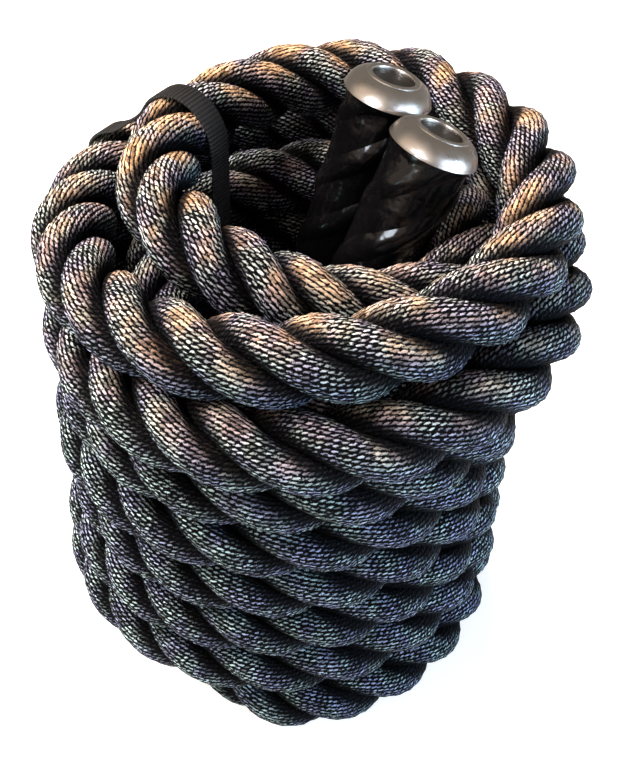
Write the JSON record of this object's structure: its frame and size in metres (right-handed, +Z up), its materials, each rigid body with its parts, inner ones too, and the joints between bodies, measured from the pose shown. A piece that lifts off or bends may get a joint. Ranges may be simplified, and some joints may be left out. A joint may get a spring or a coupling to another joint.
{
  "type": "battle rope",
  "caption": "Heavy three-strand training rope wound into a free-standing coil, with sleeved, metal-capped grips leaning in its hollow and a strap round the wall.",
  "frame": {"origin": "middle of the plan, on the surface that the coil stands on", "axes": "+Z up; -Y towards the side that the picture shows; the grips lean towards +X"},
  "size_m": [0.2916, 0.2868, 0.3364],
  "materials": {
    "rope": "black three-strand polyester, slightly fuzzy",
    "whipping": "waxed black twine",
    "sleeve": "glossy black shrunk sleeve",
    "cap": "satin, spun",
    "disc": "brushed, blank",
    "screw": "zinc plated",
    "strap": "black woven webbing"
  },
  "bodies": {
    "coil": {"rope_coil": "rope", "rope_tail_a": "rope", "rope_tail_b": "rope", "tie_strap": "strap"},
    "grip_a": {"rope_end_a": "rope", "end_whipping_a": "whipping", "grip_sleeve_a": "sleeve", "end_cap_a": "cap", "cap_disc_a": "disc", "cap_screw_a": "screw"},
    "grip_b": {"rope_end_b": "rope", "end_whipping_b": "whipping", "grip_sleeve_b": "sleeve", "end_cap_b": "cap", "cap_disc_b": "disc", "cap_screw_b": "screw"}
  },
  "joints": [
    {"name": "grip_a_lean", "type": "hinge", "parent": "coil", "child": "grip_a", "pos_m": [-0.00334, 0.01864, 0.15371], "axis": [-0.2104, 0.9776, 0], "range_deg": [-20, 0], "deforming": ["rope_tail_a"]},
    {"name": "grip_b_lean", "type": "hinge", "parent": "coil", "child": "grip_b", "pos_m": [-0.00422, -0.03114, 0.15489], "axis": [-0.2878, 0.9577, 0], "range_deg": [-20, 0], "deforming": ["rope_tail_b"]}
  ]
}
